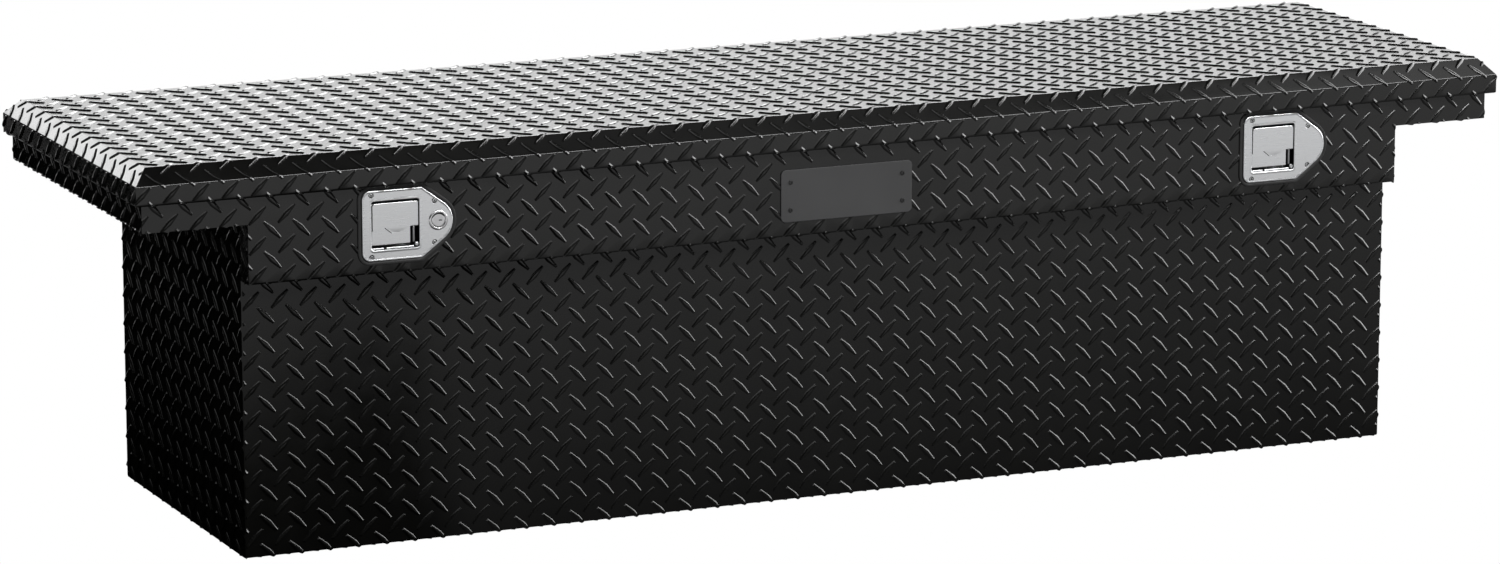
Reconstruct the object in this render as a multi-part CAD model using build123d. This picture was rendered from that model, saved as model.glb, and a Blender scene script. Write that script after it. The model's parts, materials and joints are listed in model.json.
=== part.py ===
from build123d import *
from math import atan, cos, degrees, hypot, radians, sin, tan
import os

# Crossover tool box for a pickup bed: a deep tub between two wings that rest on the bed rails,
# closed by one full-length lid on a rear piano hinge.
# Frame: +X along the box to the right, -Y is the latch side, +Z up. Origin: centre of the base.

SHEET = 1.6                     # tread plate gauge
BEND = 3.2                      # outer radius of the folded bottom edges

# Lid
LID_LENGTH = 1771.6
LID_FRONT, LID_BACK = -254.0, 250.0
LID_TOP, LID_FOLD, LID_HEM = 476.4, 457.4, 434.2     # top, chamfer foot, bottom of the skirt
CHAMFER_END, CHAMFER_FRONT, CHAMFER_BACK = 17.0, 18.0, 24.5
PAN_BOTTOM, PAN_TOP = 456.0, 457.0                   # inner liner of the lid

# Body
TUB_LENGTH = 1499.0
TUB_FRONT, TUB_BACK = -214.9, 219.3
WING_LENGTH = 1752.4
WING_FLOOR = 401.4                                   # underside that sits on the bed rails
RIM_TOP = 450.0
FASCIA_FRONT, REAR_BACK = -243.1, 245.0
APRON_BOTTOM = 330.5
RIM_INNER_FRONT, RIM_INNER_BACK = -205.0, 229.0
RIM_INNER_END = 858.0
FASCIA_INNER = FASCIA_FRONT + SHEET
RIM_UNDER = RIM_TOP - SHEET

# Weather seal on the rim
SEAL_WIDTH, SEAL_HEIGHT = 8.0, 5.7
SEAL_END, SEAL_FRONT, SEAL_BACK = 867.0, -214.5, 238.0
SEAL_CORNER = 12.0

# Piano hinge
HINGE_Y, HINGE_Z = 250.2, 429.5
HINGE_HALF = 850.0
KNUCKLES = 34
KNUCKLE_R, PIN_R, RUNNING_FIT = 3.8, 2.0, 0.05
LEAF = 1.5
RIVET_PITCH, RIVET_HEAD_R = 155.0, 4.4

# Latches: the places of the two dish centres, and the pressed plate around them
LATCH_X = {"left": -571.1, "right": 576.6}
LATCH_Z = 387.6
DISH_WIDTH, DISH_HEIGHT, DISH_WALL = 58.6, 57.4, 1.2
DISH_BACK = -229.0
DISH_CORNER = 2.0
OPENING_LEFT, OPENING_RIGHT, OPENING_HALF_HEIGHT = -33.5, 38.0, 32.9     # hole in the sheet behind a plate
PLATE_FRONT, PLATE_BACK = -245.9, -244.1
PLATE_LEFT, PLATE_HALF_HEIGHT, PLATE_SHOULDER, PLATE_APEX = -40.9, 41.5, 32.5, 88.7
PLATE_CORNER_R, PLATE_SHOULDER_R, PLATE_NOSE_R = 10.0, 6.0, 26.0
GASKET_MARGIN = 4.5
SCREWS = [(-29.6, 36.1), (48.1, 24.0), (-29.5, -36.9), (48.1, -25.0)]

# Paddle, hung on a pin near the top of the dish
PADDLE_PIN_Y, PADDLE_PIN_Z, PADDLE_PIN_R = -242.0, 411.5, 1.2
PADDLE_HALF, PADDLE_GAUGE = 28.1, 2.0
PADDLE_FRONT = -245.6
PADDLE_TOP, PADDLE_BOTTOM = 413.5, 363.8
LEVER_OFFSET = -14.0            # the paddle's tail and the shaft lever stand beside the hook

# Release shaft that links both latches
SHAFT_Y, SHAFT_Z, SHAFT_R = -227.0, 432.0, 3.5
SHAFT_HALF = 628.0
STRIKER_Y, STRIKER_Z, STRIKER_R, STRIKER_HALF = -220.0, 441.0, 2.5, 13.0

# Lock, in the nose of the left plate
LOCK_X, LOCK_Z = -518.6, 388.4
LOCK_BARREL_R, LOCK_PLUG_R, LOCK_BEZEL_R = 10.0, 8.5, 11.7

# Gas struts, one in each wing
STRUT_X = 835.0
STRUT_FOOT = (0.0, 416.0)       # y, z of the pivot on the wing floor
STRUT_HEAD = (185.0, 445.0)     # y, z of the pivot on the lid
TUBE_R, TUBE_BORE, ROD_R, STUD_R = 9.0, 7.05, 4.0, 4.0
TUBE_START, TUBE_END = 14.0, 150.0

NAME_PLATE_X, NAME_PLATE_Z = 1.6, 379.8
NAME_PLATE_SIZE = (171.3, 63.0)

os.makedirs("parts", exist_ok=True)


def block(x, y, z):
    """A box between a low and a high limit in each axis."""
    size = [high - low for low, high in (x, y, z)]
    middle = [(high + low) / 2 for low, high in (x, y, z)]
    return Pos(*middle) * Box(*size)


def bar(start, end, radius):
    """A round bar between two points."""
    axis = Vector(*end) - Vector(*start)
    plane = Plane(origin=start, z_dir=axis)
    return extrude(plane * Circle(radius), amount=axis.length)


def along_x(points, x):
    """A (y, z) outline extruded between two x limits."""
    face = make_face(Polyline(*points, close=True))
    return extrude(Plane.YZ.offset(x[0]) * face, amount=x[1] - x[0])


def along_y(face, y):
    """A sketch drawn in (x, z), extruded between two y limits."""
    return extrude(Plane.XZ.offset(-y[1]) * face, amount=y[1] - y[0])


def save(node, shape):
    """Write one piece, or a group of like pieces, as its own node."""
    solids = shape.solids()
    body = solids[0] if len(solids) == 1 else Compound(children=list(solids))
    export_step(body, f"parts/{node}.step")


def group(pieces):
    return Compound(children=[solid for piece in pieces for solid in piece.solids()])


# ---------------------------------------------------------------- tub and wings

def tub_shell():
    """Front wall, floor and back wall, folded from one sheet."""
    half = TUB_LENGTH / 2 - SHEET
    outer = block((-half, half), (TUB_FRONT, TUB_BACK), (0, RIM_UNDER))
    inner = block((-half, half), (TUB_FRONT + SHEET, TUB_BACK - SHEET), (SHEET, RIM_UNDER))
    outer = fillet(outer.edges().filter_by(Axis.X).group_by(Axis.Z)[0], BEND)
    inner = fillet(inner.edges().filter_by(Axis.X).group_by(Axis.Z)[0], BEND - SHEET)
    low_back = block((-half, half), (TUB_BACK - SHEET, TUB_BACK), (WING_FLOOR, RIM_UNDER))
    return outer - inner - low_back


def end_wall(side):
    outer = TUB_LENGTH / 2
    wall = block((outer - SHEET, outer), (TUB_FRONT, TUB_BACK), (0, WING_FLOOR + SHEET))
    wall = fillet(wall.edges().filter_by(Axis.X).group_by(Axis.Z)[0], BEND)
    return wall if side > 0 else mirror(wall, about=Plane.YZ)


def wing_pan(side):
    """Floor and end wall of one wing, with the rim flange folded inwards."""
    inner, outer = TUB_LENGTH / 2, WING_LENGTH / 2
    depth = (FASCIA_INNER, REAR_BACK - SHEET)
    floor = block((inner, outer), depth, (WING_FLOOR, WING_FLOOR + SHEET))
    wall = block((outer - SHEET, outer), depth, (WING_FLOOR, RIM_UNDER))
    rim = block((RIM_INNER_END, outer), (RIM_INNER_FRONT, RIM_INNER_BACK), (RIM_UNDER, RIM_TOP))
    pan = floor + wall + rim
    return pan if side > 0 else mirror(pan, about=Plane.YZ)


def dish_opening(latch_x):
    """The hole in the sheet that one latch dish passes through."""
    x = (latch_x + OPENING_LEFT, latch_x + OPENING_RIGHT)
    z = (LATCH_Z - OPENING_HALF_HEIGHT, LATCH_Z + OPENING_HALF_HEIGHT)
    return block(x, (FASCIA_FRONT - 1, DISH_BACK + 5), z)


def front_fascia():
    """Tray front and apron in one T-shaped sheet, with the rim and the apron returns folded back."""
    wing, apron = WING_LENGTH / 2, TUB_LENGTH / 2
    sheet_y = (FASCIA_FRONT, FASCIA_INNER)
    body = block((-wing, wing), sheet_y, (WING_FLOOR, RIM_TOP))
    body += block((-apron, apron), sheet_y, (APRON_BOTTOM, WING_FLOOR))
    body += block((-wing, wing), (FASCIA_FRONT, RIM_INNER_FRONT), (RIM_UNDER, RIM_TOP))
    body += block((-apron, apron), (FASCIA_FRONT, TUB_FRONT), (APRON_BOTTOM, APRON_BOTTOM + SHEET))
    for x in ((-apron, -apron + SHEET), (apron - SHEET, apron)):
        body += block(x, (FASCIA_FRONT, TUB_FRONT), (APRON_BOTTOM, WING_FLOOR))
    for latch_x in LATCH_X.values():
        body -= dish_opening(latch_x)
        slot = (latch_x - STRIKER_HALF - 9, latch_x + STRIKER_HALF + 9)
        body -= block(slot, (STRIKER_Y - 10, TUB_FRONT - 0.3), (RIM_UNDER - 1, RIM_TOP + 1))
    body -= bar((LOCK_X, FASCIA_FRONT - 1, LOCK_Z), (LOCK_X, FASCIA_INNER + 1, LOCK_Z), LOCK_BARREL_R + 0.2)
    return body


def rear_rail():
    """Step out from the tub's back wall, upper back wall and rear rim, folded from one sheet."""
    wing = WING_LENGTH / 2
    inside = REAR_BACK - SHEET
    profile = [
        (TUB_BACK - SHEET, WING_FLOOR), (REAR_BACK, WING_FLOOR), (REAR_BACK, RIM_TOP),
        (RIM_INNER_BACK, RIM_TOP), (RIM_INNER_BACK, RIM_UNDER), (inside, RIM_UNDER),
        (inside, WING_FLOOR + SHEET), (TUB_BACK - SHEET, WING_FLOOR + SHEET),
    ]
    rail = along_x(profile, (-wing, wing))
    tub = TUB_LENGTH / 2
    for x in ((-wing, -tub), (tub, wing)):
        rail -= block(x, (TUB_BACK - SHEET - 1, inside), (WING_FLOOR - 1, WING_FLOOR + SHEET + 1))
    for x in ((-tub, SHEET - tub), (tub - SHEET, tub)):
        rail -= block(x, (TUB_BACK - SHEET - 1, TUB_BACK), (WING_FLOOR - 1, WING_FLOOR + SHEET + 1))
    return rail


def rim_seal():
    outer = RectangleRounded(2 * SEAL_END, SEAL_BACK - SEAL_FRONT, SEAL_CORNER)
    inner = RectangleRounded(2 * (SEAL_END - SEAL_WIDTH), SEAL_BACK - SEAL_FRONT - 2 * SEAL_WIDTH, SEAL_CORNER / 2)
    ring = Pos(0, (SEAL_FRONT + SEAL_BACK) / 2, RIM_TOP) * extrude(outer - inner, amount=SEAL_HEIGHT)
    return fillet(ring.edges().group_by(Axis.Z)[-1], 2.0)


# ---------------------------------------------------------------- lid

def lid_frustum(inset, low, high):
    """The lid's outline, moved in by a sheet's thickness or more, between two heights."""
    def edge(run, z):
        """How far the sloping side has come in at height z."""
        slope = atan(run / (LID_TOP - LID_FOLD))
        fold = LID_FOLD - inset * tan(slope / 2)
        return inset + max(0.0, (z - fold) * tan(slope))

    def outline(z):
        ends = LID_LENGTH / 2 - edge(CHAMFER_END, z)
        front = LID_FRONT + edge(CHAMFER_FRONT, z)
        back = LID_BACK - edge(CHAMFER_BACK, z)
        return Pos(0, (front + back) / 2, z) * Rectangle(2 * ends, back - front)

    return loft([outline(low), outline(high)], ruled=True)


def lid_skin():
    outer = block((-LID_LENGTH / 2, LID_LENGTH / 2), (LID_FRONT, LID_BACK), (LID_HEM, LID_FOLD))
    outer += lid_frustum(0.0, LID_FOLD, LID_TOP)
    half = LID_LENGTH / 2 - SHEET
    low_fold = LID_FOLD - SHEET / 2
    inner = block((-half, half), (LID_FRONT + SHEET, LID_BACK - SHEET), (LID_HEM - 1, low_fold))
    inner += lid_frustum(SHEET, low_fold, LID_TOP - SHEET)
    return outer - inner


def lid_inner_pan():
    gap = SHEET + 0.8
    half = LID_LENGTH / 2 - gap
    return block((-half, half), (LID_FRONT + gap, LID_BACK - gap), (PAN_BOTTOM, PAN_TOP))


def lid_foam_core():
    return lid_frustum(SHEET + 0.6, PAN_TOP + 0.2, LID_TOP - SHEET - 0.2)


# ---------------------------------------------------------------- hinge

def hinge_leaf(upper):
    """One leaf with every other knuckle of the piano hinge."""
    if upper:
        leaf_y = (LID_BACK - SHEET - LEAF, LID_BACK - SHEET)
        leaf = block((-HINGE_HALF, HINGE_HALF), leaf_y, (HINGE_Z, 455.0))
    else:
        leaf_y = (REAR_BACK, REAR_BACK + LEAF)
        leaf = block((-HINGE_HALF, HINGE_HALF), leaf_y, (405.0, HINGE_Z - KNUCKLE_R + LEAF))
    pitch = 2 * HINGE_HALF / KNUCKLES
    for index in range(KNUCKLES):
        start = -HINGE_HALF + index * pitch + 0.25
        span = (start, start + pitch - 0.5)
        around = block(span, (HINGE_Y - KNUCKLE_R - 2, HINGE_Y + KNUCKLE_R + 1),
                       (HINGE_Z - KNUCKLE_R - 0.4, HINGE_Z + KNUCKLE_R + 0.4))
        mine = index % 2 == (0 if upper else 1)
        if not mine:
            leaf -= around
            continue
        leaf += bar((span[0], HINGE_Y, HINGE_Z), (span[1], HINGE_Y, HINGE_Z), KNUCKLE_R)
        if upper:
            leaf += block(span, (leaf_y[0], HINGE_Y), (HINGE_Z + 1, HINGE_Z + KNUCKLE_R))
        else:
            leaf += block(span, (leaf_y[0], HINGE_Y), (HINGE_Z - KNUCKLE_R, HINGE_Z - 1))
    bore_r = PIN_R + RUNNING_FIT
    return leaf - bar((-HINGE_HALF - 1, HINGE_Y, HINGE_Z), (HINGE_HALF + 1, HINGE_Y, HINGE_Z), bore_r)


def rivet_head(x, y, z):
    """The domed head of a rivet, on the outside of the sheet at y."""
    head = bar((x, y, z), (x, y + 1.2, z), RIVET_HEAD_R)
    return fillet(head.edges().group_by(Axis.Y)[-1], 0.9)


def rivet_places():
    return [RIVET_PITCH * (index - 5) for index in range(11)]


# ---------------------------------------------------------------- latches

def plate_outline(margin=0.0):
    """The pressed plate's outline about the dish centre: square to the left, a round nose to the right."""
    half, lift = PLATE_HALF_HEIGHT + margin, margin * 0.32
    points = [
        (PLATE_LEFT - margin, -half), (PLATE_SHOULDER + lift, -half),
        (PLATE_APEX + margin * 1.7, 0), (PLATE_SHOULDER + lift, half), (PLATE_LEFT - margin, half),
    ]
    face = make_face(Polyline(*points, close=True))
    by_x = face.vertices().group_by(Axis.X)
    face = fillet(by_x[-1], PLATE_NOSE_R + margin)
    shoulders = [v for v in face.vertices() if abs(v.X - PLATE_SHOULDER - lift) < 0.01]
    face = fillet(shoulders, PLATE_SHOULDER_R)
    corners = [v for v in face.vertices() if abs(v.X - PLATE_LEFT + margin) < 0.01]
    return fillet(corners, PLATE_CORNER_R + margin)


def latch_plate(side):
    """Stainless plate and the dish pressed into it, with a slot in the dish's top for the tail."""
    place = Pos(LATCH_X[side], 0, LATCH_Z)
    plate = place * along_y(plate_outline(), (PLATE_FRONT, PLATE_BACK))
    plate = fillet(plate.edges().group_by(Axis.Y)[0], 0.8)
    mouth = RectangleRounded(DISH_WIDTH, DISH_HEIGHT, DISH_CORNER)
    shell = RectangleRounded(DISH_WIDTH + 2 * DISH_WALL, DISH_HEIGHT + 2 * DISH_WALL, DISH_CORNER + DISH_WALL)
    dish = place * along_y(shell, (PLATE_BACK, DISH_BACK))
    hollow = place * along_y(mouth, (PLATE_FRONT - 1, DISH_BACK - DISH_WALL))
    tail_x = LATCH_X[side] + LEVER_OFFSET
    slot = block((tail_x - 4, tail_x + 4), (PADDLE_PIN_Y - 1.8, DISH_BACK - 2), (LATCH_Z + 26, LATCH_Z + 32))
    pin_x = (LATCH_X[side] - DISH_WIDTH / 2 - DISH_WALL - 1, LATCH_X[side] + DISH_WIDTH / 2 + DISH_WALL + 1)
    pin_hole = bar((pin_x[0], PADDLE_PIN_Y, PADDLE_PIN_Z), (pin_x[1], PADDLE_PIN_Y, PADDLE_PIN_Z), PADDLE_PIN_R)
    plate = plate + dish - hollow - slot - pin_hole
    if side == "left":
        plate -= bar((LOCK_X, PLATE_FRONT - 1, LOCK_Z), (LOCK_X, PLATE_BACK + 1, LOCK_Z), LOCK_BARREL_R + 0.1)
    for dx, dz in SCREWS:
        x, z = LATCH_X[side] + dx, LATCH_Z + dz
        plate -= bar((x, PLATE_FRONT - 1, z), (x, PLATE_BACK + 1, z), 1.7)
    return plate


def latch_gasket(side):
    place = Pos(LATCH_X[side], 0, LATCH_Z)
    gasket = place * along_y(plate_outline(GASKET_MARGIN), (PLATE_BACK, FASCIA_FRONT))
    gasket = gasket - dish_opening(LATCH_X[side])
    if side == "left":
        gasket -= bar((LOCK_X, PLATE_BACK - 1, LOCK_Z), (LOCK_X, FASCIA_FRONT + 1, LOCK_Z), LOCK_BARREL_R + 0.2)
    for dx, dz in SCREWS:
        x, z = LATCH_X[side] + dx, LATCH_Z + dz
        gasket -= bar((x, PLATE_BACK - 1, z), (x, FASCIA_FRONT + 1, z), 1.7)
    return gasket


def screw(x, z, face_y, head_r=2.6):
    """A pan-head screw along Y, driven from the front."""
    head = bar((x, face_y - 1.3, z), (x, face_y, z), head_r)
    head = fillet(head.edges().group_by(Axis.Y)[0], 0.9)
    return head + bar((x, face_y, z), (x, FASCIA_FRONT - 0.1, z), 1.5)


def paddle(side):
    """Pull paddle: face plate, two side ears round the pin, and the tail that works the shaft."""
    x0 = LATCH_X[side]
    face = block((x0 - PADDLE_HALF, x0 + PADDLE_HALF), (PADDLE_FRONT, PADDLE_FRONT + PADDLE_GAUGE),
                 (PADDLE_BOTTOM, PADDLE_TOP))
    face = fillet(face.edges().filter_by(Axis.Y), 1.5)
    notch = block((x0 + 18.1, x0 + PADDLE_HALF + 1), (PADDLE_FRONT - 1, PADDLE_FRONT + PADDLE_GAUGE + 1),
                  (PADDLE_BOTTOM - 1, LATCH_Z - 3.4))
    body = face - notch
    ear_profile = [
        (PADDLE_FRONT + 1, PADDLE_TOP - 1), (PADDLE_PIN_Y + 2.6, PADDLE_TOP - 1), (PADDLE_PIN_Y + 5, PADDLE_PIN_Z - 6),
        (PADDLE_PIN_Y + 2.5, LATCH_Z), (PADDLE_FRONT + 1, LATCH_Z),
    ]
    ear_x = ((x0 - PADDLE_HALF, x0 - PADDLE_HALF + 1.5), (x0 + PADDLE_HALF - 1.5, x0 + PADDLE_HALF))
    for x in ear_x:
        body += along_x(ear_profile, x)
    y, z = PADDLE_PIN_Y, PADDLE_PIN_Z
    tail_profile = [
        (PADDLE_FRONT + 1, z - 12), (y + 3, z - 8), (y + 3.2, z + 1), (y + 3.8, z + 11.2),
        (y + 2.2, z + 11.2), (y + 0.2, z + 1.8), (PADDLE_FRONT + 1, z + 1.8),
    ]
    tail_x = x0 + LEVER_OFFSET
    body += along_x(tail_profile, (tail_x - 2.5, tail_x + 2.5))
    bore = bar((x0 - 40, y, z), (x0 + 40, y, z), PADDLE_PIN_R + RUNNING_FIT)
    return body - bore


def paddle_pin(side):
    reach = DISH_WIDTH / 2 + DISH_WALL
    x0 = LATCH_X[side]
    return bar((x0 - reach, PADDLE_PIN_Y, PADDLE_PIN_Z), (x0 + reach, PADDLE_PIN_Y, PADDLE_PIN_Z), PADDLE_PIN_R)


# ---------------------------------------------------------------- release shaft

def yz_offset(points):
    """Outline points given about the shaft's axis."""
    return [(SHAFT_Y + y, SHAFT_Z + z) for y, z in points]


def release_shaft():
    """The cross shaft with its two paddle levers and the finger that the lock cam stops."""
    shaft = bar((-SHAFT_HALF, SHAFT_Y, SHAFT_Z), (SHAFT_HALF, SHAFT_Y, SHAFT_Z), SHAFT_R)
    lever = yz_offset([(0, 3), (-3.5, 0), (-9.0, -8.0), (-9.0, -11.5), (-7.0, -11.5), (0, -3)])
    for x0 in LATCH_X.values():
        lever_x = x0 + LEVER_OFFSET
        shaft += along_x(lever, (lever_x - 2, lever_x + 2))
    finger = yz_offset([(-2, 0), (-2, -13), (2, -13), (2, 0)])
    return shaft + along_x(finger, (LOCK_X - 3, LOCK_X + 3))


def hook(side):
    """Latch hook, fixed on the shaft, whose nose stands just short of the striker."""
    x0 = LATCH_X[side]
    arm = yz_offset([(-6, 0), (-6, 15.5), (4, 15.5), (4, 12.6), (-1.5, 12.6), (-1.5, 0)])
    body = along_x(arm, (x0 - 3, x0 + 3))
    body += bar((x0 - 3, SHAFT_Y, SHAFT_Z), (x0 + 3, SHAFT_Y, SHAFT_Z), 6.3)
    return body - bar((x0 - 4, SHAFT_Y, SHAFT_Z), (x0 + 4, SHAFT_Y, SHAFT_Z), SHAFT_R)


def shaft_bearing(x):
    body = block((x - 4, x + 4), (SHAFT_Y - 6, TUB_FRONT), (SHAFT_Z - 7, SHAFT_Z + 7))
    body = fillet(body.edges().filter_by(Axis.X).group_by(Axis.Y)[0], 4)
    return body - bar((x - 5, SHAFT_Y, SHAFT_Z), (x + 5, SHAFT_Y, SHAFT_Z), SHAFT_R + RUNNING_FIT)


def bearing_places():
    return [x0 + offset for x0 in LATCH_X.values() for offset in (-38.0, 42.0)]


def return_spring(x):
    """Torsion spring: close turns of wire round the shaft."""
    wire = Helix(pitch=1.5, height=9.0, radius=SHAFT_R + 1.4)
    start = wire @ 0
    section = Plane(origin=start, z_dir=wire % 0) * Circle(0.6)
    coil = sweep(section, path=wire, is_frenet=True)
    return Pos(x, SHAFT_Y, SHAFT_Z) * Rot(0, 90, 0) * coil


def striker(side):
    """Striker loop under the lid: a round bar on two legs, welded to a foot plate."""
    x0 = LATCH_X[side]
    foot = block((x0 - 20, x0 + 20), (STRIKER_Y - 8, STRIKER_Y + 4), (PAN_BOTTOM - 2.0, PAN_BOTTOM))
    loop = bar((x0 - STRIKER_HALF, STRIKER_Y, STRIKER_Z), (x0 + STRIKER_HALF, STRIKER_Y, STRIKER_Z), STRIKER_R)
    body = foot + loop
    for x in (x0 - STRIKER_HALF, x0 + STRIKER_HALF):
        body += bar((x, STRIKER_Y, STRIKER_Z), (x, STRIKER_Y, PAN_BOTTOM - 1), STRIKER_R)
        body += Pos(x, STRIKER_Y, STRIKER_Z) * Sphere(STRIKER_R)
    return body


# ---------------------------------------------------------------- lock

def lock_cylinder():
    """Lock housing: bezel and barrel, bored for the plug."""
    body = bar((LOCK_X, PLATE_FRONT - 1.6, LOCK_Z), (LOCK_X, PLATE_FRONT, LOCK_Z), LOCK_BEZEL_R)
    body = fillet(body.edges().group_by(Axis.Y)[0], 1.0)
    body += bar((LOCK_X, PLATE_FRONT, LOCK_Z), (LOCK_X, -224.0, LOCK_Z), LOCK_BARREL_R)
    return body - bar((LOCK_X, PLATE_FRONT - 3, LOCK_Z), (LOCK_X, -220, LOCK_Z), LOCK_PLUG_R + RUNNING_FIT)


def lock_plug():
    """Turning plug with its keyway."""
    body = bar((LOCK_X, PLATE_FRONT - 1.2, LOCK_Z), (LOCK_X, -222.0, LOCK_Z), LOCK_PLUG_R)
    body = fillet(body.edges().group_by(Axis.Y)[0], 0.6)
    key = block((LOCK_X - 0.8, LOCK_X + 0.8), (PLATE_FRONT - 3, PLATE_FRONT + 12), (LOCK_Z - 4, LOCK_Z + 4))
    return body - key


def lock_cam():
    """Flat cam on the plug's tail, pointing along +X while unlocked."""
    tip = 29.4
    body = block((LOCK_X, LOCK_X + tip), (-222.0, -220.5), (LOCK_Z - 5, LOCK_Z + 5))
    body = fillet(body.edges().filter_by(Axis.Y).group_by(Axis.X)[-1], 3)
    return body + bar((LOCK_X, -222.0, LOCK_Z), (LOCK_X, -220.5, LOCK_Z), 7.5)


def lock_nut():
    hexagon = RegularPolygon(13.5, 6) - Circle(LOCK_BARREL_R)
    return Pos(LOCK_X, 0, LOCK_Z) * along_y(hexagon, (FASCIA_INNER, FASCIA_INNER + 4))


# ---------------------------------------------------------------- gas struts

RISE = STRUT_HEAD[1] - STRUT_FOOT[1]
RUN = STRUT_HEAD[0] - STRUT_FOOT[0]
STRUT_LENGTH = hypot(RUN, RISE)


def strut_point(x, along):
    """A point on the strut's axis, at a distance from its foot pivot."""
    share = along / STRUT_LENGTH
    return (x, STRUT_FOOT[0] + RUN * share, STRUT_FOOT[1] + RISE * share)


def strut_bar(x, start, end, radius):
    return bar(strut_point(x, start), strut_point(x, end), radius)


def socket(x, along):
    """Ball socket end, bored for the stud."""
    px, py, pz = strut_point(x, along)
    eye = bar((px - 5, py, pz), (px + 5, py, pz), 6.0)
    return eye, bar((px - 6, py, pz), (px + 6, py, pz), STUD_R + RUNNING_FIT)


def strut_cylinder(x):
    eye, bore = socket(x, 0)
    body = eye + strut_bar(x, 4.5, TUBE_START + 1, 4.5) + strut_bar(x, TUBE_START, TUBE_END, TUBE_R)
    body -= strut_bar(x, TUBE_START + 4, TUBE_END - 6, TUBE_BORE)
    body -= strut_bar(x, TUBE_END - 7, TUBE_END + 1, ROD_R + RUNNING_FIT)
    return body - bore


def strut_rod(x):
    eye, bore = socket(x, STRUT_LENGTH)
    piston = strut_bar(x, 20, 28, TUBE_BORE - RUNNING_FIT)
    rod = strut_bar(x, 27, STRUT_LENGTH - 4.5, ROD_R)
    return piston + rod + eye - bore


def box_bracket(side):
    """Wing-floor bracket with the strut's ball stud, which reaches inwards."""
    inner = STRUT_X + 11
    y, z = STRUT_FOOT
    floor = WING_FLOOR + SHEET
    body = block((inner, inner + 2.5), (y - 14, y + 14), (floor, z + 8))
    body += block((inner, inner + 16), (y - 14, y + 14), (floor, floor + 2.5))
    body += bar((STRUT_X - 4.7, y, z), (inner + 1, y, z), STUD_R)
    return body if side > 0 else mirror(body, about=Plane.YZ)


def lid_bracket(side):
    """Lid bracket with its stud drawn short: the pivot that is open in the motion model."""
    inner = STRUT_X + 11
    y, z = STRUT_HEAD
    body = block((inner, inner + 2.5), (y - 14, y + 14), (z - 8, PAN_BOTTOM))
    body += block((inner, inner + 11.5), (y - 14, y + 14), (PAN_BOTTOM - 2.5, PAN_BOTTOM))
    body += bar((STRUT_X + 5.4, y, z), (inner + 1, y, z), STUD_R)
    return body if side > 0 else mirror(body, about=Plane.YZ)


# ---------------------------------------------------------------- name plate

def name_plate():
    face = Pos(NAME_PLATE_X, NAME_PLATE_Z) * RectangleRounded(*NAME_PLATE_SIZE, 6)
    plate = along_y(face, (FASCIA_FRONT - 1.4, FASCIA_FRONT))
    return fillet(plate.edges().group_by(Axis.Y)[0], 0.5)


def name_plate_screws():
    places = [(NAME_PLATE_X + x, NAME_PLATE_Z + z) for x in (-73.1, 73.1) for z in (-16.7, 16.7)]
    pieces = []
    for x, z in places:
        face_y = FASCIA_FRONT - 1.4
        head = bar((x, face_y - 1.2, z), (x, face_y, z), 2.8)
        pieces.append(fillet(head.edges().group_by(Axis.Y)[0], 0.8))
    return group(pieces)


# ---------------------------------------------------------------- write the nodes

SIDES = {"left": -1, "right": 1}

save("tub_shell", tub_shell())
save("front_fascia", front_fascia())
save("rear_rail", rear_rail())
save("rim_seal", rim_seal())
save("lid_skin", lid_skin())
save("lid_inner_pan", lid_inner_pan())
save("lid_foam_core", lid_foam_core())
save("hinge_box_leaf", hinge_leaf(upper=False))
save("hinge_lid_leaf", hinge_leaf(upper=True))
save("hinge_pin", bar((-HINGE_HALF, HINGE_Y, HINGE_Z), (HINGE_HALF, HINGE_Y, HINGE_Z), PIN_R))
save("hinge_box_rivets", group([rivet_head(x, REAR_BACK + LEAF, 414.0) for x in rivet_places()]))
save("hinge_lid_rivets", group([rivet_head(x, LID_BACK, 446.0) for x in rivet_places()]))
save("release_shaft", release_shaft())
save("shaft_bearings", group([shaft_bearing(x) for x in bearing_places()]))
save("return_springs", group([return_spring(x0 - 32.0) for x0 in LATCH_X.values()]))
save("lock_cylinder", lock_cylinder())
save("lock_plug", lock_plug())
save("lock_cam", lock_cam())
save("lock_nut", lock_nut())
save("name_plate", name_plate())
save("name_plate_screws", name_plate_screws())
save("strut_box_brackets", group([box_bracket(side) for side in SIDES.values()]))
save("strut_lid_brackets", group([lid_bracket(side) for side in SIDES.values()]))
for name, sign in SIDES.items():
    save(f"{name}_end_wall", end_wall(sign))
    save(f"{name}_wing_pan", wing_pan(sign))
    save(f"{name}_latch_plate", latch_plate(name))
    save(f"{name}_latch_gasket", latch_gasket(name))
    save(f"{name}_latch_screws", group([
        screw(LATCH_X[name] + dx, LATCH_Z + dz, PLATE_FRONT) for dx, dz in SCREWS]))
    save(f"{name}_paddle", paddle(name))
    save(f"{name}_paddle_pin", paddle_pin(name))
    save(f"{name}_hook", hook(name))
    save(f"{name}_striker", striker(name))
    save(f"{name}_strut_cylinder", strut_cylinder(sign * STRUT_X))
    save(f"{name}_strut_rod", strut_rod(sign * STRUT_X))
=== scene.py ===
import json
import math
import bpy
import bmesh
import numpy as np
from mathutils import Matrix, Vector
from mathutils.geometry import delaunay_2d_cdt


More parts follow.
